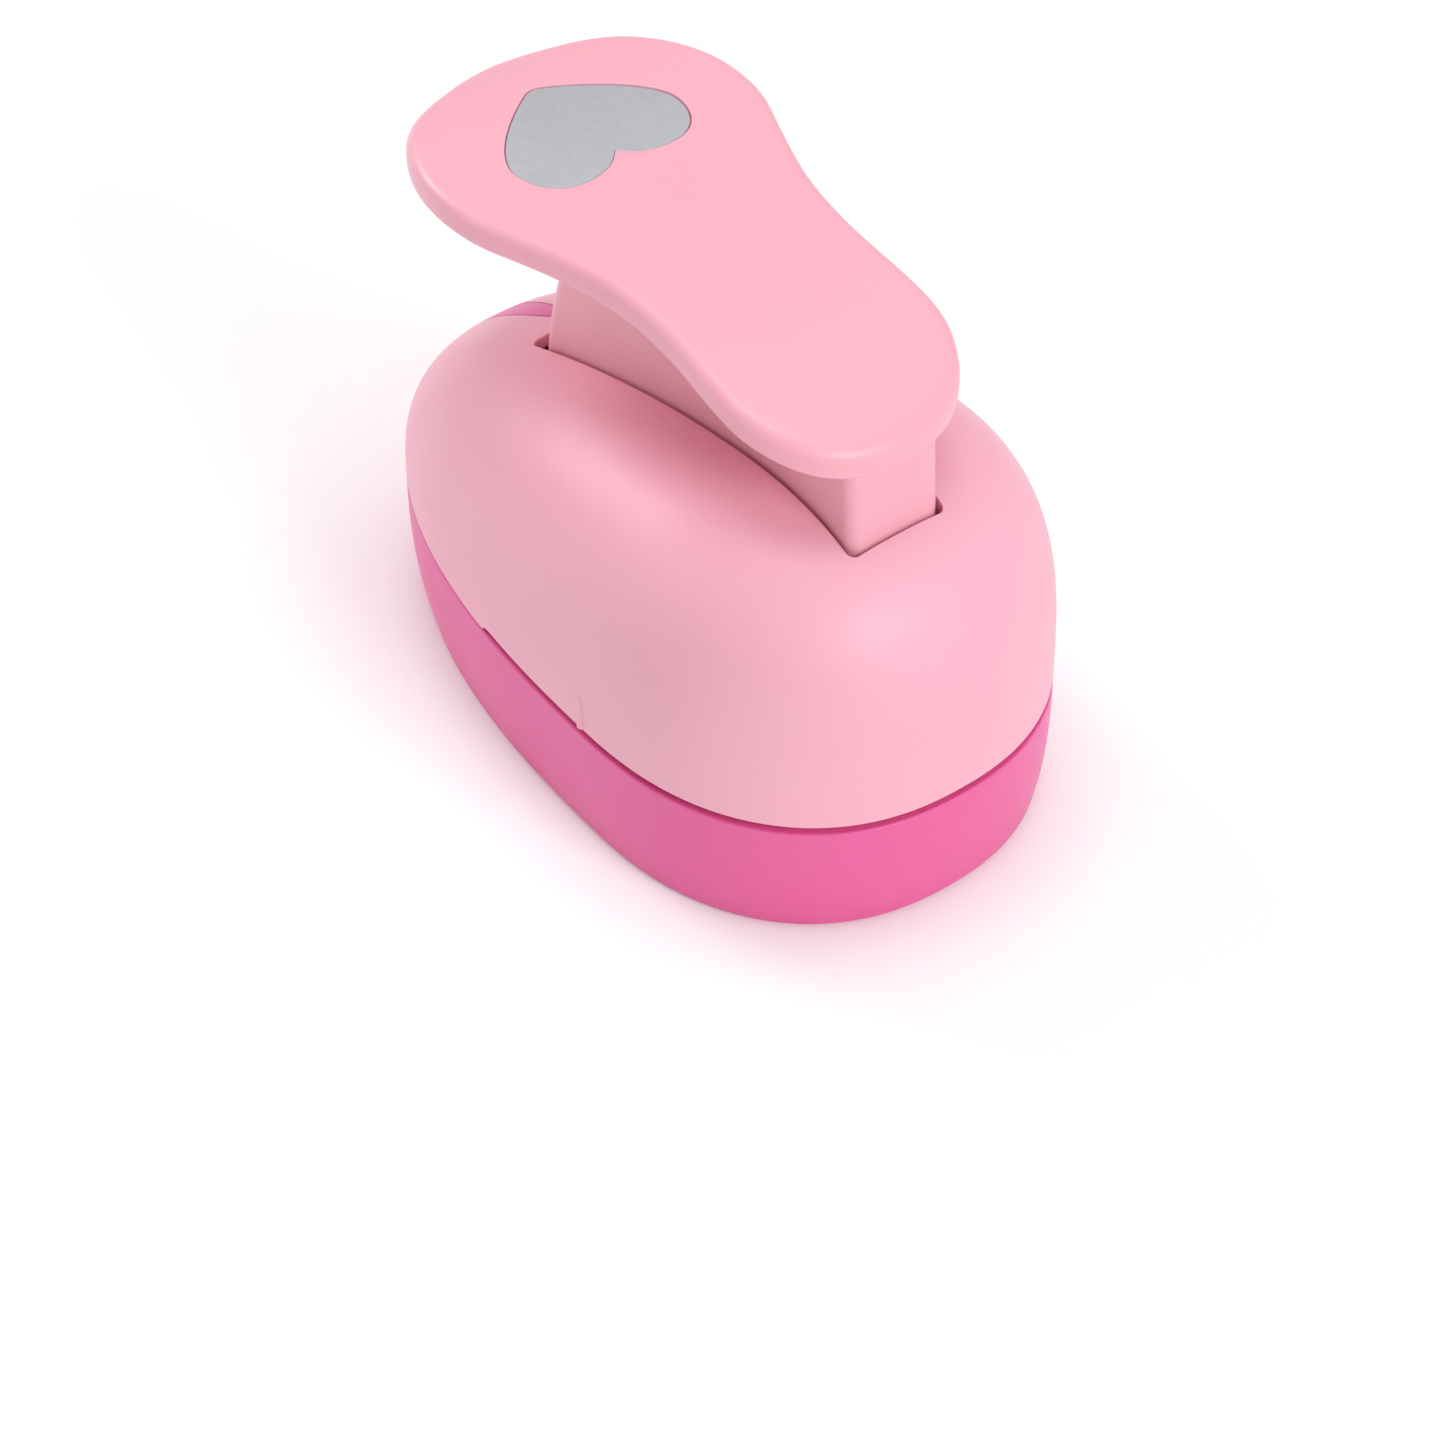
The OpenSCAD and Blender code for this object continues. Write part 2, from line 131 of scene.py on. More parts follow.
COLUMN_RADIUS = 4.5
OVERLAP = 0.3
PAST_THE_ENDS = 100
BOSS_RADIUS = 4
BOSS_BORE = 1.5
BOSS_EDGE = 0.4
EAR_GAP = 0.6
EAR_THICKNESS = 4
EAR_RADIUS = 7
EAR_TOP_X = (40, 54)
HINGE_BORE = 2.52
RIB_X = 17.5
RIB_RADIUS = 0.8
RIB_HEIGHT = 7
RIB_SINK = 0.4
# Share of the rib's radius at heights above the rim
RIB_PROFILE = [(0.8, 0), (1, 0.2), (1, 5.4), (0.93, 6.1), (0.72, 6.6), (0.4, 6.9)]


def crown(x):
    """Height of the body's middle line along its length."""
    v = x / 50
    return 65 + 9.66 * v - 1.31 * v**2 - 4.7 * v**3


def section_n(x):
    """Squareness of the body's cross-section along its length."""
    return 2.72 + 0.6 * x / 50


def outline_point(angle, inset):
    """Plan outline of the body with the wall moved in by inset."""
    c, s = np.cos(angle), np.sin(angle)
    n = np.where(c > 0, FRONT_N, REAR_N)
    reach = np.where(c > 0, FRONT_REACH, REAR_REACH) - inset
    x = reach * np.sign(c) * np.abs(c) ** (2 / n)
    y = (HALF_WIDTH - inset) * np.sign(s) * np.abs(s) ** (2 / n)
    return np.stack([WIDE_X + x, y], axis=-1)


def dome_z(x, y, inset):
    """Height of the body's upper surface over a point of the plan."""
    dx = x - WIDE_X
    n = np.where(dx > 0, FRONT_N, REAR_N)
    reach = np.where(dx > 0, FRONT_REACH, REAR_REACH) - inset
    out = (np.abs(dx) / reach) ** n + (np.abs(y) / (HALF_WIDTH - inset)) ** n
    rho = np.clip(out ** (1 / n), 0, 1)
    m = section_n(x)
    return SHOULDER_Z + (crown(x) - inset - SHOULDER_Z) * (1 - rho**m) ** (1 / m)


def foot_scale(z):
    """Size of the outline at a height, drawing in towards the table."""
    return 1 - FOOT_INSET * np.clip(1 - z / FOOT_TOP, 0, 1) ** 3


def tongue_z(y, grow):
    """Upper edge of the casing's tongue at the rear, grown all round by grow."""
    out = np.clip(np.abs(y) - grow, 0, None) / TONGUE_HALF
    return PAPER_Z + grow + (TONGUE_TOP - PAPER_Z) / (1 + out**4)


def housing_cut(x, y):
    """Lower edge of the housing: round the tongue, along the parting line, then the paper slot."""
    low = PAPER_Z + PARTING_GROOVE
    u = np.clip((x - SLOT_STOP_X) / ARCH_LENGTH, 0, 1)
    slot = low + (RIM_Z - low) * np.sqrt(1 - (1 - u) ** 2)
    return np.where(x < TONGUE_FRONT_X + PARTING_GROOVE, tongue_z(y, PARTING_GROOVE), slot)


def casing_cut(x, y):
    """Upper edge of the casing: the paper's height, and the tongue at the rear."""
    return np.where(x < TONGUE_FRONT_X, tongue_z(y, 0), PAPER_Z)


# ---------- mesh helpers ----------


def mesh_object(name, points, faces, sharp=40):
    """A smooth-shaded mesh from points in millimetres."""
    mesh = bpy.data.meshes.new(name)
    mesh.from_pydata((np.asarray(points, float) * MM).tolist(), [], faces)
    work = bmesh.new()
    work.from_mesh(mesh)
    bmesh.ops.remove_doubles(work, verts=work.verts, dist=1e-7)
    bmesh.ops.dissolve_degenerate(work, edges=work.edges, dist=1e-7)
    bmesh.ops.recalc_face_normals(work, faces=work.faces)
    work.to_mesh(mesh)
    work.free()
    mesh.shade_smooth()
    mesh.set_sharp_from_angle(angle=math.radians(sharp))
    mark_edges(mesh)
    made = bpy.data.objects.new(name, mesh)
    bpy.context.scene.collection.objects.link(made)
    return made


def mark_edges(mesh):
    """Stores how sharply the surface turns at each point, which the materials read as a painted edge
    highlight.
    """
    work = bmesh.new()
    work.from_mesh(mesh)
    turn = np.zeros(len(work.verts))
    for vertex in work.verts:
        angles = [edge.calc_face_angle(0) for edge in vertex.link_edges]
        turn[vertex.index] = max(angles, default=0)
    work.free()
    attribute = mesh.attributes.new(EDGE, "FLOAT", "POINT")
    attribute.data.foreach_set("value", np.clip((turn - 0.15) / 0.35, 0, 1).astype(np.float32))


def grid_faces(rows, columns, closed_rows):
    """Quads over a grid whose columns go all the way round."""
    last = rows if closed_rows else rows - 1
    faces = []
    for r in range(last):
        for c in range(columns):
            a, b = r * columns, ((r + 1) % rows) * columns
            d = (c + 1) % columns
            faces.append((a + c, a + d, b + d, b + c))
    return faces


def ring_mesh(name, grid, sharp=40):
    """A closed ring, such as a wall: rows and columns both go all the way round."""
    rows, columns = grid.shape[:2]
    return mesh_object(name, grid.reshape(-1, 3), grid_faces(rows, columns, True), sharp)


def capped_mesh(name, grid, first, last, sharp=40):
    """A closed form: rows run from one pole to the other."""
    rows, columns = grid.shape[:2]
    points = np.vstack([grid.reshape(-1, 3), [first, last]])
    faces = grid_faces(rows, columns, False)
    end = (rows - 1) * columns
    for c in range(columns):
        d = (c + 1) % columns
        faces.append((rows * columns, d, c))
        faces.append((rows * columns + 1, end + c, end + d))
    return mesh_object(name, points, faces, sharp)


def soften(before, corner, after, steps=4):
    """Rows of points round a corner, between the rows on its two sides."""
    t = (np.arange(steps) + 1) / (steps + 1)
    t = t[:, None, None]
    return (1 - t) ** 2 * before + 2 * t * (1 - t) * corner + t**2 * after


def towards(start, end, distance):
    """Points at a distance from start, on the way to end."""
    step = end - start
    return start + distance * step / np.linalg.norm(step, axis=-1, keepdims=True)


def walk(path, keep, rows, trim_start, trim_end):
    """Each column's path up to where keep stops, as evenly spaced rows, and the point where it stops."""
    steps, columns = path.shape[:2]
    grid = np.zeros((rows, columns, 3))
    ends = np.zeros((columns, 3))
    for c in range(columns):
        line, margin = path[:, c], keep[:, c]
        stop = int(np.argmax(margin < 0)) if (margin < 0).any() else steps - 1
        share = margin[stop - 1] / (margin[stop - 1] - margin[stop]) if margin[stop] < 0 else 1
        ends[c] = line[stop - 1] + share * (line[stop] - line[stop - 1])
        line = np.vstack([line[:stop], ends[c]])
        run = np.r_[0, np.cumsum(np.linalg.norm(np.diff(line, axis=0), axis=1))]
        at = np.linspace(trim_start, run[-1] - trim_end, rows)
        for k in range(3):
            grid[:, c, k] = np.interp(at, run, line[:, k])
    return grid, ends


def slab(name, loops, z0, z1, edge=0.3):
    """A flat plate with softened edges between two heights; loops after the first are holes."""
    curve = bpy.data.curves.new(name, "CURVE")
    curve.dimensions = "2D"
    curve.fill_mode = "BOTH"
    curve.extrude = ((z1 - z0) / 2 - edge) * MM
    curve.bevel_depth = edge * MM
    curve.bevel_resolution = 2
    curve.offset = -edge * MM
    for loop in loops:
        spline = curve.splines.new("POLY")
        spline.points.add(len(loop) - 1)
        for point, (x, y) in zip(spline.points, loop):
            point.co = (x * MM, y * MM, 0, 1)
        spline.use_cyclic_u = True
    holder = bpy.data.objects.new(name, curve)
    bpy.context.scene.collection.objects.link(holder)
    bpy.context.view_layer.update()
    mesh = bpy.data.meshes.new_from_object(holder.evaluated_get(bpy.context.evaluated_depsgraph_get()))
    bpy.data.objects.remove(holder)
    points = np.zeros(len(mesh.vertices) * 3)
    mesh.vertices.foreach_get("co", points)
    points = points.reshape(-1, 3) / MM + [0, 0, (z0 + z1) / 2]
    return mesh_object(name, points, [tuple(p.vertices) for p in mesh.polygons], 50)


def stand_up(flat, side, rise):
    """Turns a slab drawn in XY into a wall in XZ on one side of the middle, raised by rise."""
    for vertex in flat.data.vertices:
        x, z, y = vertex.co
        vertex.co = (x, side * y, z + rise * MM)
    work = bmesh.new()
    work.from_mesh(flat.data)
    bmesh.ops.recalc_face_normals(work, faces=work.faces)
    work.to_mesh(flat.data)
    work.free()
    return flat


def join(name, objects):
    """One object from several closed forms of the same moulding."""
    work = bmesh.new()
    for part in objects:
        work.from_mesh(part.data)
    mesh = bpy.data.meshes.new(name)
    work.to_mesh(mesh)
    work.free()
    mesh.set_sharp_from_angle(angle=math.radians(40))
    if EDGE in mesh.attributes:
        mesh.attributes.remove(mesh.attributes[EDGE])
    mark_edges(mesh)
    for part in objects:
        bpy.data.objects.remove(part)
    made = bpy.data.objects.new(name, mesh)
    bpy.context.scene.collection.objects.link(made)
    return made


def rounded_loop(x0, x1, half_y, radius, steps=8):
    """A rectangle with rounded corners, the same on both sides of the middle."""
    centres = [
        (x1 - radius, half_y - radius), (x0 + radius, half_y - radius),
        (x0 + radius, radius - half_y), (x1 - radius, radius - half_y),
    ]
    loop = []
    for k, (cx, cy) in enumerate(centres):
        for i in range(steps + 1):
            a = math.radians(90 * k + 90 * i / steps)
            loop.append((cx + radius * math.cos(a), cy + radius * math.sin(a)))
    return loop


def circle_loop(x, y, radius, steps=32):
    """A circle as a closed loop of points."""
    turn = [2 * math.pi * i / steps for i in range(steps)]
    return [(x + radius * math.cos(a), y + radius * math.sin(a)) for a in turn]


# ---------- body shells ----------


def body_angles(count):
    """Angles of evenly spaced outline points, with more at the paper slot's end and the tongue."""
    turn = np.linspace(0, 2 * math.pi, 6000)
    run = np.r_[0, np.cumsum(np.linalg.norm(np.diff(outline_point(turn, 0), axis=0), axis=1))]
    even = np.interp(np.linspace(0, run[-1], count, endpoint=False), run, turn)
    near_stop = np.arange(SLOT_STOP_X - 0.4, SLOT_STOP_X + ARCH_LENGTH + 0.4, 0.15)
    at_stop = np.arccos(-(((WIDE_X - near_stop) / REAR_REACH) ** (REAR_N / 2)))
    near_tongue = np.arange(0.25, 3 * TONGUE_HALF, 0.25)
    at_tongue = math.pi - np.arcsin((near_tongue / HALF_WIDTH) ** (REAR_N / 2))
    half = np.r_[at_stop, at_tongue]
    angles = np.sort(np.r_[even, half, 2 * math.pi - half])
    return angles[np.r_[True, np.diff(angles) > 1e-4]]


def slot_point(outer):
    """The nearest point of the stem slot's rounded outline."""
    low = np.array([SLOT_REAR_X + SLOT_CORNER, SLOT_CORNER - SLOT_HALF])
    high = np.array([SLOT_FRONT_X - SLOT_CORNER, SLOT_HALF - SLOT_CORNER])
    core = np.clip(outer, low, high)
    return towards(core, outer, SLOT_CORNER)


def dome_path(angles, inset):
    """Columns from the stem slot out over the dome and down past the paper slot."""
    rim = outline_point(angles, inset)
    slot = slot_point(outline_point(angles, 0))
    s = 1 - (1 - np.linspace(0, 1, DOME_STEPS)) ** 3
    plan = slot + s[:, None, None] * (rim - slot)
    dome = np.concatenate([plan, dome_z(plan[..., 0], plan[..., 1], inset)[..., None]], axis=-1)
    drop = np.linspace(SHOULDER_Z, PAPER_Z - 1, 40)[1:]
    low = np.stack([np.append(rim, np.full((len(rim), 1), z), axis=1) for z in drop])
    return np.concatenate([dome, low])


def housing_shell():
    """The housing's wall, from the stem slot's edge out over the dome, round its rim and back inside."""
    angles = body_angles(BODY_COLUMNS)
    outer_path = dome_path(angles, 0)
    inner_path = dome_path(angles, WALL)
    outer_keep = outer_path[..., 2] - housing_cut(outer_path[..., 0], outer_path[..., 1])
    inner_keep = inner_path[..., 2] - housing_cut(inner_path[..., 0], inner_path[..., 1])
    outer, outer_cut = walk(outer_path, outer_keep - 1e-6, rows=56, trim_start=SLOT_EDGE, trim_end=RIM_EDGE)
    inner, inner_cut = walk(inner_path, inner_keep - 1e-6, rows=30, trim_start=0, trim_end=INNER_EDGE)
    slot_top = outer_path[0]
    slot_wall = slot_top - [0, 0, SLOT_EDGE]
    rim_start = towards(outer_cut, inner_cut, RIM_EDGE)
    rim_end = towards(inner_cut, outer_cut, INNER_EDGE)
    rows = [
        soften(slot_wall, slot_top, outer[0], 5),
        outer,
        soften(outer[-1], outer_cut, rim_start),
        rim_start[None],
        rim_end[None],
        inner[::-1],
        slot_wall[None],
    ]
    return ring_mesh("housing_shell", np.concatenate(rows))


def foot_path(angles, inset):
    """Columns from the table up the wall and in over the dome."""
    rim = outline_point(angles, inset)
    centre = np.array([WIDE_X, 0])
    rise = np.linspace(0, SHOULDER_Z, 60)[:-1]
    low = []
    for z in rise:
        ring = centre + foot_scale(z) * (rim - centre)
        low.append(np.append(ring, np.full((len(rim), 1), z), axis=1))
    return np.concatenate([np.stack(low), dome_path(angles, inset)[:DOME_STEPS][::-1]])


def casing_wall():
    """The casing's wall, from the foot up to its rim and tongue, and back inside."""
    angles = body_angles(BODY_COLUMNS)
    outer_path = foot_path(angles, 0)
    inner_path = foot_path(angles, WALL)
    outer_keep = casing_cut(outer_path[..., 0], outer_path[..., 1]) - outer_path[..., 2]
    inner_keep = casing_cut(inner_path[..., 0], inner_path[..., 1]) - inner_path[..., 2]
    outer, outer_cut = walk(outer_path, outer_keep, rows=28, trim_start=FOOT_EDGE, trim_end=RIM_EDGE)
    inner, inner_cut = walk(inner_path, inner_keep, rows=16, trim_start=INNER_EDGE, trim_end=INNER_EDGE)
    foot, foot_inner = outer_path[0], inner_path[0]
    foot_in = towards(foot, foot_inner, FOOT_EDGE)
    rim_start = towards(outer_cut, inner_cut, RIM_EDGE)
    rim_end = towards(inner_cut, outer_cut, INNER_EDGE)
    rows = [
        soften(foot_in, foot, outer[0]),
        outer,
        soften(outer[-1], outer_cut, rim_start),
        rim_start[None],
        rim_end[None],
        inner[::-1],
        towards(foot_inner, foot, INNER_EDGE)[None],
        foot_in[None],
    ]
    return ring_mesh("casing_wall", np.concatenate(rows))


def inner_loop(inset, z, x_from, x_to):
    """The body's inside outline at a height, cut off square at two stations."""
    rim = outline_point(np.linspace(0, 2 * math.pi, 240, endpoint=False), inset)
    centre = np.array([WIDE_X, 0])
    ring = centre + foot_scale(z) * (rim - centre)
    loop = []
    for point, after in zip(ring, np.roll(ring, -1, axis=0)):
        if x_from < point[0] < x_to:
            loop.append(tuple(point))
        for x in (x_from, x_to):
            if (point[0] - x) * (after[0] - x) < 0:
                share = (x - point[0]) / (after[0] - point[0])
                loop.append((x, point[1] + share * (after[1] - point[1])))
    return loop


def chip_opening():
    """The opening under the die plate: a rounded rectangle with a lug round each screw."""
    x0, x1, half_y = -26, 40.5, 29.3
    lug = 4.8
    loop = []
    for k, (sx, sy) in enumerate([(1, 1), (-1, 1), (-1, -1), (1, -1)]):
        cx = LUG_POINTS[0][0] if sx > 0 else LUG_POINTS[2][0]
        cy = sy * LUG_POINTS[0][1]
        arc = []
        for i in range(25):
            a = math.radians(90 * k + 180 - 60 + 210 * i / 24)
            arc.append((cx + lug * math.cos(a), cy + lug * math.sin(a)))
        inside = [p for p in arc if x0 < p[0] < x1 and abs(p[1]) < half_y]
        if sx > 0:
            loop += inside[::-1]
        else:
            edge = [(x0 + 6, sy * half_y), (x0, sy * (half_y - 6))]
            if sy > 0:
                loop += inside[::-1] + edge
            else:
                loop += edge[::-1] + inside[::-1]
    return loop


def casing_inside():
    """The casing's deck round the die plate, the bulkhead behind it and the rear floor."""
    pocket = rounded_loop(die_low[0] - 0.2, die_high[0] + 0.2, die_high[1] + 0.2, 6)
    holes = [circle_loop(x, y, LUG_HOLE, 24) for x, y in LUG_POINTS]
    deck = inner_loop(WALL - OVERLAP, PAPER_Z, BULKHEAD_X + 1, PAST_THE_ENDS)
    ledge = rounded_loop(die_low[0] - 1, die_high[0] + 1, die_high[1] + 1, 6.5)
    bulkhead = inner_loop(WALL - OVERLAP, 10, BULKHEAD_X, BULKHEAD_X + 2)
    floor = inner_loop(WALL - OVERLAP, 0, -PAST_THE_ENDS, BULKHEAD_X + 1)
    parts = [
        slab("deck", [deck, pocket], DECK_Z, PAPER_Z, 0.2),
        slab("ledge", [ledge, chip_opening()] + holes, DECK_Z + 0.02, PAPER_Z - 3, 0.2),
        slab("bulkhead", [bulkhead], 0.4, PAPER_Z - 0.1, 0.2),
        slab("floor", [floor] + [circle_loop(x, y, COLUMN_BORE) for x, y in CASE_POINTS], 0.3, WALL, 0.25),
    ]
    for x, y in CASE_POINTS:
        parts.append(screw_column(x, y, 0.5, PAPER_Z - 0.1, COLUMN_BORE, COLUMN_RADIUS, CASE_HEAD_Z))
    return parts


def screw_column(x, y, z0, z1, bore, radius, shoulder):
    """A moulded screw column, bored from below up to its shoulder."""
    profile = [(bore, z0), (radius, z0), (radius, z1), (1.6, z1), (1.6, shoulder), (bore, shoulder)]
    return lathe("column", x, y, profile)


def lathe(name, x, y, profile, steps=36):
    """A turned ring from a closed profile of radius and height."""
    turn = np.linspace(0, 2 * math.pi, steps, endpoint=False)
    rows = []
    for radius, z in profile:
        px, py = x + radius * np.cos(turn), y + radius * np.sin(turn)
        rows.append(np.stack([px, py, np.full(steps, z)], axis=-1))
    return ring_mesh(name, np.stack(rows), 35)


def housing_boss(x, y, z0):
    """A bored screw boss from a height up into the shell."""
    turn = np.linspace(0, 2 * math.pi, 36, endpoint=False)
    rows = []
    for radius, edge in [(BOSS_BORE, BOSS_EDGE), (BOSS_RADIUS - 0.3, 0), (BOSS_RADIUS, BOSS_EDGE)]:
        px, py = x + radius * np.cos(turn), y + radius * np.sin(turn)
        rows.append(np.stack([px, py, np.full(36, z0 + edge)], axis=-1))
    for radius in [BOSS_RADIUS, BOSS_BORE]:
        px, py = x + radius * np.cos(turn), y + radius * np.sin(turn)
        rows.append(np.stack([px, py, dome_z(px, py, WALL) + 0.8], axis=-1))
    return ring_mesh("boss", np.stack(rows), 35)


def hinge_ear(side):
    """An ear that holds the hinge pin, hanging from the shell."""
    y0 = STEM_HALF + EAR_GAP
    y1 = y0 + EAR_THICKNESS
    xs = np.linspace(*EAR_TOP_X, 9)
    top = [(x, float(dome_z(x, y1, WALL)) + 0.6) for x in xs]
    round_end = []
    for i in range(13):
        a = math.pi + math.pi * i / 12
        round_end.append((PIVOT_X + EAR_RADIUS * math.cos(a), PIVOT_Z + EAR_RADIUS * math.sin(a)))
    loop = round_end + top[::-1]
    ear = slab("ear", [loop, circle_loop(PIVOT_X, PIVOT_Z, HINGE_BORE)], y0, y1, 0.3)
    return stand_up(ear, side, 0)


def alignment_rib(side):
    """A small half-round rib that marks the die's middle on the body's flank."""
    y = side * (HALF_WIDTH - RIB_SINK)
    turn = np.linspace(0, 2 * math.pi, 24, endpoint=False)
    rows = []
    for scale, rise in RIB_PROFILE:
        r = RIB_RADIUS * scale
        px, py = RIB_X + r * np.cos(turn), y + r * np.sin(turn)
        rows.append(np.stack([px, py, np.full(24, RIM_Z + rise)], axis=-1))
    return capped_mesh("rib", np.stack(rows), (RIB_X, y, RIM_Z), (RIB_X, y, RIM_Z + RIB_HEIGHT), 50)


# ---------- heart ----------

# Half of a 50.8 mm wide heart from its notch round the lobe to its point, the point at the origin
HEART_CURVES = [
    [(36, 0), (38.8, 2.5), (42.2, 5), (42.2, 13)],
    [(42.2, 13), (42.2, 20.9), (36, 25.4), (28.4, 25.4)],
    [(28.4, 25.4), (18.1, 25.4), (4.2, 7.5), (0.5, 1.7)],
]
HEART_WIDTH = 50.8
HEART_MIDDLE = 21.1


def heart_radius(angle):
    """Distance from the heart's middle to its outline at an angle; 0 is towards the notch."""
    t = np.linspace(0, 1, 60, endpoint=False)[:, None]
    half = []
    for curve in HEART_CURVES:
        p = np.array(curve, float)
        half.append(
            (1 - t) ** 3 * p[0] + 3 * (1 - t) ** 2 * t * p[1] + 3 * (1 - t) * t**2 * p[2] + t**3 * p[3]
        )
    points = np.vstack(half + [[(0, 0)]]) - [HEART_MIDDLE, 0]
    run = np.arctan2(points[:, 1], points[:, 0])
    run[-1] = math.pi
    return np.interp(np.abs(angle), run, np.linalg.norm(points, axis=1))


# ---------- palm lever ----------

# Half outline of the palm plate, from the palm end to the nose end
PLATE_HALF = [
    (-60.2, 0), (-56.9, 12.6), (-52, 20.6), (-43.5, 26), (-33.9, 28.7), (-23, 28.3), (-12.5, 24.5),
    (-1.5, 21), (8.3, 19.7), (16.9, 19.7), (26, 20.3), (34.5, 19.9), (42.5, 15.7), (46.8, 9.4), (48.5, 0),
]
PLATE_COLUMNS = 320
SMOOTHING_PASSES = 14
UNDER_EDGE = 0.7
POCKET_FIT = 1.01
LIP_FIT = 1.022
BADGE_FIT = 0.997
BADGE_SCALE = (badge_high[1] - badge_low[1]) / HEART_WIDTH
BADGE_X = badge_low[0] + HEART_MIDDLE * BADGE_SCALE


def plate_top(x):
    """Height of the palm plate's arched top along its length."""
    v = x / 50
    return 94.7 - 2.83 * v - 3.87 * v**2 - 1.5 * v**3 - 2.5 * v**4


def plate_outline(count):
    """Evenly spaced points and outward normals of the smooth closed outline."""
    loop = np.array(PLATE_HALF + [(x, -y) for x, y in PLATE_HALF[-2:0:-1]], float)
    t = np.linspace(0, 1, 24, endpoint=False)[:, None]
    curve = []
    for i in range(len(loop)):
        a, b, c, d = (loop[(i + k) % len(loop)] for k in (-1, 0, 1, 2))
        curve.append(b + 0.5 * t * (c - a + t * (2 * a - 5 * b + 4 * c - d + t * (3 * b - a - 3 * c + d))))
    curve = np.vstack(curve + [loop[:1]])
    run = np.r_[0, np.cumsum(np.linalg.norm(np.diff(curve, axis=0), axis=1))]
    at = np.linspace(0, run[-1], count, endpoint=False)
    points = np.stack([np.interp(at, run, curve[:, k]) for k in (0, 1)], axis=-1)
    for _ in range(SMOOTHING_PASSES):
        points = (np.roll(points, 1, axis=0) + 2 * points + np.roll(points, -1, axis=0)) / 4
    along = np.roll(points, -1, axis=0) - np.roll(points, 1, axis=0)
    normals = np.stack([-along[:, 1], along[:, 0]], axis=-1)
    return points, normals / np.linalg.norm(normals, axis=1, keepdims=True)


def under_arch(plan, drop):
    """Points of the plan set a distance under the plate's arched top."""
    return np.append(plan, (plate_top(plan[:, 0]) - drop)[:, None], axis=1)


def heart_plan(angles, size):
    """The badge's heart in plan, its size times size."""
    radius = heart_radius(angles) * BADGE_SCALE * size
    return np.stack([BADGE_X + radius * np.cos(angles), radius * np.sin(angles)], axis=-1)


def blend_rows(start, end, shares):
    """Rows between two rows, at shares of the way."""
    return [start + s * (end - start) for s in shares]


def palm_plate():
    """The arched plate: the badge's pocket, the top, the rounded edge and the underside."""
    outline, normals = plate_outline(PLATE_COLUMNS)
    angles = np.arctan2(outline[:, 1], outline[:, 0] - BADGE_X)
    middle = np.array([BADGE_X, 0])
    floor = BADGE_DROP + BADGE_T
    pocket = heart_plan(angles, POCKET_FIT)
    lip = heart_plan(angles, LIP_FIT)
    rows = [under_arch(p, floor) for p in blend_rows(middle, pocket, [0.05, 0.35, 0.7, 1])]
    rows.append(under_arch(pocket, 0.16))
    rows.append(under_arch(heart_plan(angles, 1.014), 0.04))
    inner_edge = outline - PLATE_FILLET * normals
    rows += [under_arch(p, 0) for p in blend_rows(lip, inner_edge, np.linspace(0, 1, 30))]
    for a in np.radians([12, 24, 36, 48, 60, 72, 84, 90]):
        inset = PLATE_FILLET * (1 - math.sin(a))
        rows.append(under_arch(outline - inset * normals, PLATE_FILLET * (1 - math.cos(a))))
    rows.append(under_arch(outline, PLATE_T - UNDER_EDGE))
    for a in np.radians([30, 60, 90]):
        inset = UNDER_EDGE * (1 - math.cos(a))
        rows.append(under_arch(outline - inset * normals, PLATE_T - UNDER_EDGE * (1 - math.sin(a))))
    under = blend_rows(outline - UNDER_EDGE * normals, middle, np.linspace(0.04, 0.97, 26))
    rows += [under_arch(p, PLATE_T) for p in under]
    top = (BADGE_X, 0, plate_top(BADGE_X) - floor)
    bottom = (BADGE_X, 0, plate_top(BADGE_X) - PLATE_T)
    return capped_mesh("palm_plate", np.stack(rows), top, bottom, 45)


def heart_badge():
    """The inlay that fills the pocket, a little under the plate's top."""
    angles = np.linspace(-math.pi, math.pi, 280, endpoint=False)
    middle = np.array([BADGE_X, 0])
    full = heart_plan(angles, BADGE_FIT)
    rows = [under_arch(p, BADGE_DROP) for p in blend_rows(middle, full, [0.1, 0.3, 0.5, 0.7, 0.85, 0.97])]
    rows.append(under_arch(heart_plan(angles, 0.988), BADGE_DROP + 0.02))
    rows.append(under_arch(full, BADGE_DROP + 0.14))
    rows.append(under_arch(full, BADGE_DROP + BADGE_T - 0.05))
    rows += [under_arch(p, BADGE_DROP + BADGE_T - 0.02) for p in blend_rows(full, middle, [0.05, 0.5, 0.9])]
    top = (BADGE_X, 0, plate_top(BADGE_X) - BADGE_DROP)
    bottom = (BADGE_X, 0, plate_top(BADGE_X) - BADGE_DROP - BADGE_T + 0.02)
    return capped_mesh("badge_inlay", np.stack(rows), top, bottom, 30)


STEM_FOOT_Z = 46
STEM_FLARE = 1.3
HINGE_BOSS_RADIUS = 6
# Front face of the stem above the hinge boss: heights, and X at each
STEM_FRONT_Z = [50, 54, 58, 66, 82, 95]
STEM_FRONT_X = [50.2, 48.3, 47.2, 47.2, 46.4, 46]
# Underside of the stem: X, and height at each
STEM_LOW_X = [-34, -17, -14, 10, 40, 42, 44, 46.9]
STEM_LOW_Z = [46, 46, 51, 44.4, 44.4, 41.6, 39.8, 39]
STOP_LUG_X = (-31, -27)
STOP_LUG_Z = 49.1
STOP_LUG_REACH = 2.2


def stem_rear(z):
    """Rear face of the stem, an arc about the hinge pin."""
    return PIVOT_X - np.sqrt(STEM_REACH**2 - (z - PIVOT_Z) ** 2)


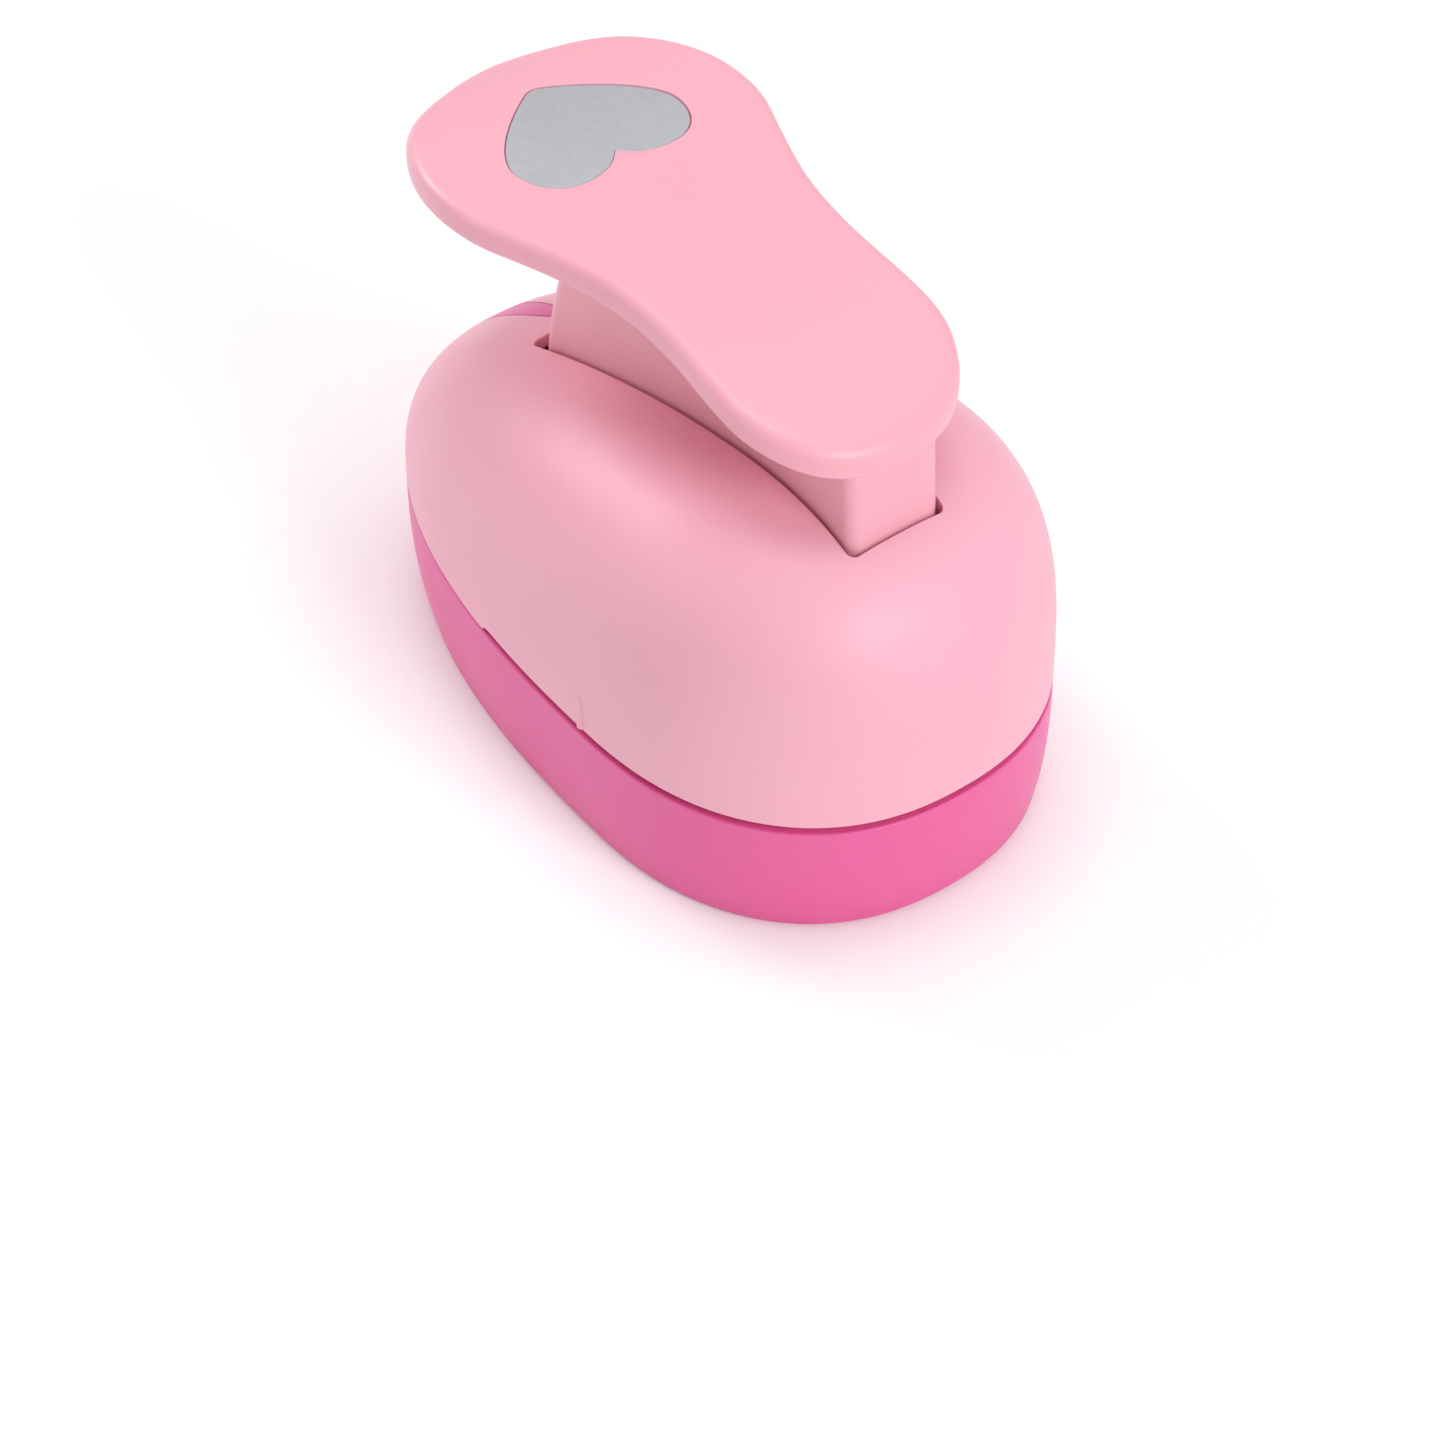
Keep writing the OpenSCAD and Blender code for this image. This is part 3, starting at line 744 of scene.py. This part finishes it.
def stem_front(z):
    """Front face of the stem, swelling into a round boss at the hinge pin."""
    boss = PIVOT_X + np.sqrt(np.clip(HINGE_BOSS_RADIUS**2 - (z - PIVOT_Z) ** 2, 0, None))
    return np.where(z < STEM_FRONT_Z[0], boss, np.interp(z, STEM_FRONT_Z, STEM_FRONT_X))


def stem_low(x):
    """Underside of the stem."""
    return np.interp(x, STEM_LOW_X, STEM_LOW_Z)


def stem_ring(rise, half_width, corner, wall, flare):
    """One ring round the stem, rise going from 0 at its underside to 1 at the palm plate.

    A ring point is first noted as (True, inset, y) at the front corners, (False, inset, y) at the
    rear corners and (None, share, y) along the sides, with share 0 at the rear and 1 at the front.
    """
    long_steps, arc_steps = 30, 7
    core_y = half_width - corner
    points = []
    quarter = [math.radians(90 * i / arc_steps) for i in range(arc_steps + 1)]
    for k in range(4):
        front = k in (0, 3)
        sign = 1 if k in (0, 1) else -1
        angles = quarter if k in (0, 2) else quarter[::-1]
        for a in angles:
            inset = corner * (1 - math.cos(a))
            points.append((front, inset, sign * (core_y + corner * math.sin(a))))
        if k in (0, 2):
            for i in range(1, long_steps):
                share = i / long_steps if k == 2 else 1 - i / long_steps
                points.append((None, share, sign * half_width))
    foot_x = stem_rear(STEM_FOOT_Z)
    ring = []
    for front, value, y in points:
        if front is None:
            u, off = value, 0
        else:
            u, off = (1, -value) if front else (0, value)
        bottom_x = foot_x + wall + u * (PIVOT_X - 1 - wall - foot_x - wall)
        low = float(stem_low(bottom_x))
        x = bottom_x
        for _ in range(3):
            high = float(plate_top(x)) - PLATE_T
            z = low + rise * (high - low)
            rear = float(stem_rear(z)) + wall
            fore = float(stem_front(z)) - wall
            x = rear + u * (fore - rear) + off
        side = 1 if y > 0 else -1
        back = flare if front is False else 0
        ring.append((x - back, y + side * flare, z))
    return np.array(ring)


def lever_stem():
    """The hollow stem under the palm plate, flared where it meets the plate."""
    outer = [stem_ring(r, STEM_HALF, STEM_CORNER, 0, 0) for r in np.linspace(0, 0.95, 24)]
    for a in (20, 40, 60, 75):
        rise = 0.95 + 0.05 * math.sin(math.radians(a))
        flare = STEM_FLARE * (1 - math.cos(math.radians(a)))
        outer.append(stem_ring(rise, STEM_HALF, STEM_CORNER, 0, flare))
    outer.append(stem_ring(1.02, STEM_HALF, STEM_CORNER, 0, STEM_FLARE))
    inner = [stem_ring(r, STEM_HALF - WALL, 1, WALL, 0) for r in np.linspace(0.9, 0.0, 12)]
    grid = np.stack(inner + outer)
    return capped_mesh("lever_stem", grid, grid[0].mean(axis=0), grid[-1].mean(axis=0), 40)


def stop_lug(side):
    """A small lug on the stem's flank that stops the lever at rest."""
    loop = rounded_loop(*STOP_LUG_X, 1.5, 0.6)
    lug = slab("lug", [loop], STEM_HALF - OVERLAP, STEM_HALF + STOP_LUG_REACH, 0.3)
    return stand_up(lug, side, STOP_LUG_Z)


# ---------- springs ----------

WIRE = 0.8
TURNS = 4.5
TURN_STEPS = 36


def spring_coil(name, side):
    """A compression spring with closed ends on a guide post."""
    low, high = spring_low[2] + WIRE / 2, spring_high[2] - WIRE / 2
    cx = (spring_low[0] + spring_high[0]) / 2
    cy = side * (spring_low[1] + spring_high[1]) / 2
    radius = (spring_high[0] - spring_low[0] - WIRE) / 2
    pitch = WIRE * 1.05
    ring = np.linspace(0, 2 * math.pi, 12, endpoint=False)
    r = radius + WIRE / 2 * np.cos(ring)
    rows = []
    for k in range(int(TURNS * TURN_STEPS) + 1):
        t = k / TURN_STEPS
        closed = min(t, 1) * pitch + max(t - TURNS + 1, 0) * pitch
        free = np.clip((t - 1) / (TURNS - 2), 0, 1)
        z = low + closed + (free - math.sin(2 * math.pi * free) * 0.05) * (high - low - 2 * pitch)
        a = 2 * math.pi * t
        px, py = cx + r * math.cos(a), cy + r * math.sin(a)
        rows.append(np.stack([px, py, z + WIRE / 2 * np.sin(ring)], axis=-1))
    grid = np.stack(rows)
    return capped_mesh(name, grid, grid[0].mean(axis=0), grid[-1].mean(axis=0), 60)


# ---------- materials ----------


def linear(red, green, blue):
    """A colour given as the eye sees it, 0 to 255, as light values."""
    out = []
    for value in (red, green, blue):
        v = value / 255
        out.append(v / 12.92 if v <= 0.04045 else ((v + 0.055) / 1.055) ** 2.4)
    return (*out, 1)


def new_material(name):
    """A new material with its nodes, links and shader."""
    material = bpy.data.materials.new(name)
    material.use_nodes = True
    nodes = material.node_tree.nodes
    return material, nodes, material.node_tree.links, nodes["Principled BSDF"]


def noise(nodes, links, vector, scale, detail=3, stretch=(1, 1, 1)):
    """A noise value, its pattern stretched along the axes."""
    mapping = nodes.new("ShaderNodeMapping")
    mapping.inputs["Scale"].default_value = stretch
    links.new(vector, mapping.inputs["Vector"])
    texture = nodes.new("ShaderNodeTexNoise")
    texture.inputs["Scale"].default_value = scale
    texture.inputs["Detail"].default_value = detail
    links.new(mapping.outputs["Vector"], texture.inputs["Vector"])
    return texture.outputs["Fac"]


def ramp(nodes, links, value, low, high, low_at=0.3, high_at=0.7):
    """Turns a 0 to 1 value into a run between two colours."""
    made = nodes.new("ShaderNodeValToRGB")
    made.color_ramp.elements[0].position = low_at
    made.color_ramp.elements[0].color = low
    made.color_ramp.elements[1].position = high_at
    made.color_ramp.elements[1].color = high
    links.new(value, made.inputs["Fac"])
    return made.outputs["Color"]


def span(nodes, links, value, low, high):
    """Turns a noise value into a run between two numbers."""
    made = nodes.new("ShaderNodeMapRange")
    made.inputs["From Min"].default_value = 0.3
    made.inputs["From Max"].default_value = 0.7
    made.inputs["To Min"].default_value = low
    made.inputs["To Max"].default_value = high
    links.new(value, made.inputs["Value"])
    return made.outputs["Result"]


def bump(nodes, links, shader, height, distance, strength):
    """A fine surface grain from a value."""
    made = nodes.new("ShaderNodeBump")
    made.inputs["Strength"].default_value = strength
    made.inputs["Distance"].default_value = distance
    links.new(height, made.inputs["Height"])
    links.new(made.outputs["Normal"], shader.inputs["Normal"])


def moulded_plastic(name, colour, shade, rough, grain, scatter, scatter_colour):
    """Moulded plastic: slow colour drift, a painted highlight in patches along sharp edges, a fine satin
    grain and slightly uneven gloss.
    """
    material, nodes, links, shader = new_material(name)
    where = nodes.new("ShaderNodeTexCoord").outputs["Object"]
    drift = noise(nodes, links, where, scale=18, detail=2)
    tint = ramp(nodes, links, drift, shade, colour)
    # Painted highlight: the colour is made lighter, in patches, where the surface turns sharply at edges
    # and fillets.
    edge = nodes.new("ShaderNodeAttribute")
    edge.attribute_name = EDGE
    edge_highlight = nodes.new("ShaderNodeMath")
    edge_highlight.operation = "MULTIPLY"
    links.new(edge.outputs["Fac"], edge_highlight.inputs[0])
    patches = noise(nodes, links, where, scale=220, detail=3)
    links.new(span(nodes, links, patches, 0, 0.5), edge_highlight.inputs[1])
    mix = nodes.new("ShaderNodeMix")
    mix.data_type = "RGBA"
    links.new(edge_highlight.outputs["Value"], mix.inputs["Factor"])
    links.new(tint, mix.inputs["A"])
    mix.inputs["B"].default_value = tuple(min(1, c * 1.12) for c in colour[:3]) + (1,)
    links.new(mix.outputs["Result"], shader.inputs["Base Color"])
    gloss = noise(nodes, links, where, scale=90, detail=4)
    links.new(span(nodes, links, gloss, rough - 0.04, rough + 0.05), shader.inputs["Roughness"])
    satin = noise(nodes, links, where, scale=grain, detail=2)
    bump(nodes, links, shader, satin, distance=0.00004, strength=0.35)
    shader.inputs["IOR"].default_value = 1.48
    shader.inputs["Subsurface Weight"].default_value = scatter
    shader.inputs["Subsurface Radius"].default_value = scatter_colour
    shader.inputs["Subsurface Scale"].default_value = 0.004
    return material


def brushed_metal(name, colour, shade, rough, stretch, scale=300):
    """Metal with a drawn or ground grain along one direction."""
    material, nodes, links, shader = new_material(name)
    where = nodes.new("ShaderNodeTexCoord").outputs["Object"]
    lines = noise(nodes, links, where, scale, detail=4, stretch=stretch)
    links.new(ramp(nodes, links, lines, shade, colour), shader.inputs["Base Color"])
    gloss = noise(nodes, links, where, scale=60, detail=3)
    links.new(span(nodes, links, gloss, rough - 0.06, rough + 0.08), shader.inputs["Roughness"])
    bump(nodes, links, shader, lines, distance=0.00003, strength=0.3)
    shader.inputs["Metallic"].default_value = 1
    return material


def paint(piece, material):
    """Gives a piece one material."""
    piece.data.materials.clear()
    piece.data.materials.append(material)


# ---------- build ----------

pink = moulded_plastic(
    "pink_plastic", linear(252, 184, 203), linear(250, 179, 199),
    rough=0.42, grain=1500, scatter=0.12, scatter_colour=(1, 0.5, 0.5),
)
pink_gloss = moulded_plastic(
    "palm_plastic", linear(250, 179, 196), linear(249, 176, 193),
    rough=0.36, grain=1800, scatter=0.12, scatter_colour=(1, 0.5, 0.5),
)
magenta = moulded_plastic(
    "casing_plastic", linear(240, 100, 165), linear(236, 92, 158),
    rough=0.37, grain=1200, scatter=0.3, scatter_colour=(1, 0.3, 0.6),
)
silver = brushed_metal(
    "badge_silver", linear(192, 193, 198), linear(186, 187, 192), rough=0.5, stretch=(1, 1, 1), scale=700
)
silver.node_tree.nodes["Principled BSDF"].inputs["Metallic"].default_value = 0.25
plate_steel = brushed_metal(
    "plate_steel", linear(200, 202, 206), linear(178, 180, 186), rough=0.4, stretch=(1, 12, 1)
)
ground_steel = brushed_metal(
    "ground_steel", linear(214, 215, 218), linear(196, 197, 202), rough=0.36, stretch=(1, 1, 14)
)
screw_steel = brushed_metal(
    "screw_steel", linear(188, 190, 196), linear(160, 162, 170), rough=0.38, stretch=(4, 4, 1), scale=500
)
spring_steel = brushed_metal(
    "spring_steel", linear(150, 152, 158), linear(120, 122, 130), rough=0.36, stretch=(1, 1, 6), scale=500
)


def place(piece, body, node, material):
    """Paints a piece and puts it on its body in place of a CAD node."""
    paint(piece, material)
    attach(piece, body)
    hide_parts(node)


place(housing_shell(), "base", "top_housing", pink)
ribs = join("alignment_ribs", [alignment_rib(1), alignment_rib(-1)])
place(ribs, "base", "top_housing", pink)
# Bosses start just above the guide plate and just above the casing's screw columns
bosses = [housing_boss(x, y, RIM_Z + 3.02) for x, y in STACK_POINTS + GUIDE_POINTS]
bosses += [housing_boss(x, y, PAPER_Z + PARTING_GROOVE + 0.1) for x, y in CASE_POINTS]
inside = join("housing_inside", bosses + [hinge_ear(1), hinge_ear(-1)])
place(inside, "base", "top_housing", pink)
place(casing_wall(), "base", "lower_casing", magenta)
place(join("casing_inside", casing_inside()), "base", "lower_casing", magenta)
place(palm_plate(), "lever", "lever", pink_gloss)
stem = join("lever_stem_moulding", [lever_stem(), stop_lug(1), stop_lug(-1)])
place(stem, "lever", "lever", pink_gloss)
place(heart_badge(), "lever", "heart_badge", silver)
for side, word in ((1, "left"), (-1, "right")):
    coil = spring_coil("spring_coil_" + word, side)
    place(coil, "base", "return_spring_" + word, spring_steel)
    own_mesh(coil)

# CAD nodes that show as they are, with softened edges
CAD_FINISH = {
    "die_plate": plate_steel, "spacer_plate": plate_steel, "guide_plate": plate_steel,
    "punch_plate": plate_steel, "punch_die": ground_steel, "guide_posts": ground_steel,
    "hinge_pin": ground_steel, "press_pin": ground_steel, "stack_screws": screw_steel,
    "die_screws": screw_steel, "guide_screws": screw_steel, "case_screws": screw_steel,
    "punch_screws": screw_steel,
}
for node, material in CAD_FINISH.items():
    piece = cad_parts[node]
    paint(piece, material)
    weld = piece.modifiers.new("weld", "WELD")
    weld.merge_threshold = 1e-6
    soft_edge = piece.modifiers.new("soft_edge", "BEVEL")
    soft_edge.width = 0.0002
    soft_edge.segments = 2
    soft_edge.limit_method = "ANGLE"
    soft_edge.angle_limit = math.radians(50)

# ---------- floor, lights and camera ----------


def floor():
    """A pale table top, just under the part."""
    size = 2.5
    corners = [(-size, -size), (size, -size), (size, size), (-size, size)]
    mesh = bpy.data.meshes.new("floor")
    mesh.from_pydata([(x, y, -0.0001) for x, y in corners], [], [(0, 1, 2, 3)])
    made = bpy.data.objects.new("floor", mesh)
    bpy.context.scene.collection.objects.link(made)
    material, nodes, links, shader = new_material("floor_paper")
    where = nodes.new("ShaderNodeTexCoord").outputs["Object"]
    tone = noise(nodes, links, where, scale=4, detail=2)
    white = ramp(nodes, links, tone, (0.93, 0.93, 0.93, 1), (0.95, 0.95, 0.95, 1))
    links.new(white, shader.inputs["Base Color"])
    shader.inputs["Roughness"].default_value = 0.9
    shader.inputs["Specular IOR Level"].default_value = 0.1
    shader.inputs["Emission Color"].default_value = (1, 1, 1, 1)
    shader.inputs["Emission Strength"].default_value = 0.1
    paint(made, material)


def softbox(name, position, aim, width, power):
    """A square soft light aimed at a point."""
    light = bpy.data.lights.new(name, "AREA")
    light.shape = "SQUARE"
    light.size = width
    light.energy = power
    made = bpy.data.objects.new(name, light)
    bpy.context.scene.collection.objects.link(made)
    made.location = position
    made.rotation_euler = (Vector(aim) - Vector(position)).to_track_quat("-Z", "Y").to_euler()


def studio():
    """A white surround with a key light ahead of the nose, one overhead and one behind."""
    world = bpy.data.worlds.new("studio")
    world.use_nodes = True
    backdrop = world.node_tree.nodes["Background"]
    backdrop.inputs["Color"].default_value = (1, 1, 1, 1)
    backdrop.inputs["Strength"].default_value = 0.36
    scene = bpy.context.scene
    scene.world = world
    scene.view_settings.view_transform = "Standard"
    middle = (0, 0, 0.05)
    softbox("key", (1.1, 0.1, 0.7), middle, 0.5, 6.3)
    softbox("top", (-0.05, 0.1, 1.3), middle, 0.8, 7.2)
    softbox("rear", (-1.2, -0.25, 0.7), middle, 0.5, 5.8)


def photo_camera():
    """A long lens, high up and off the nose's right."""
    data = bpy.data.cameras.new("camera")
    data.sensor_width = 36
    data.lens = 124.9
    data.clip_start = 0.01
    data.clip_end = 20
    made = bpy.data.objects.new("camera", data)
    bpy.context.scene.collection.objects.link(made)
    made.location = (0.4803, -0.36715, 0.5839)
    looking = Vector((-0.5641, 0.4344, -0.7022))
    made.rotation_euler = looking.to_track_quat("-Z", "Y").to_euler()
    bpy.context.scene.camera = made


floor()
studio()
photo_camera()
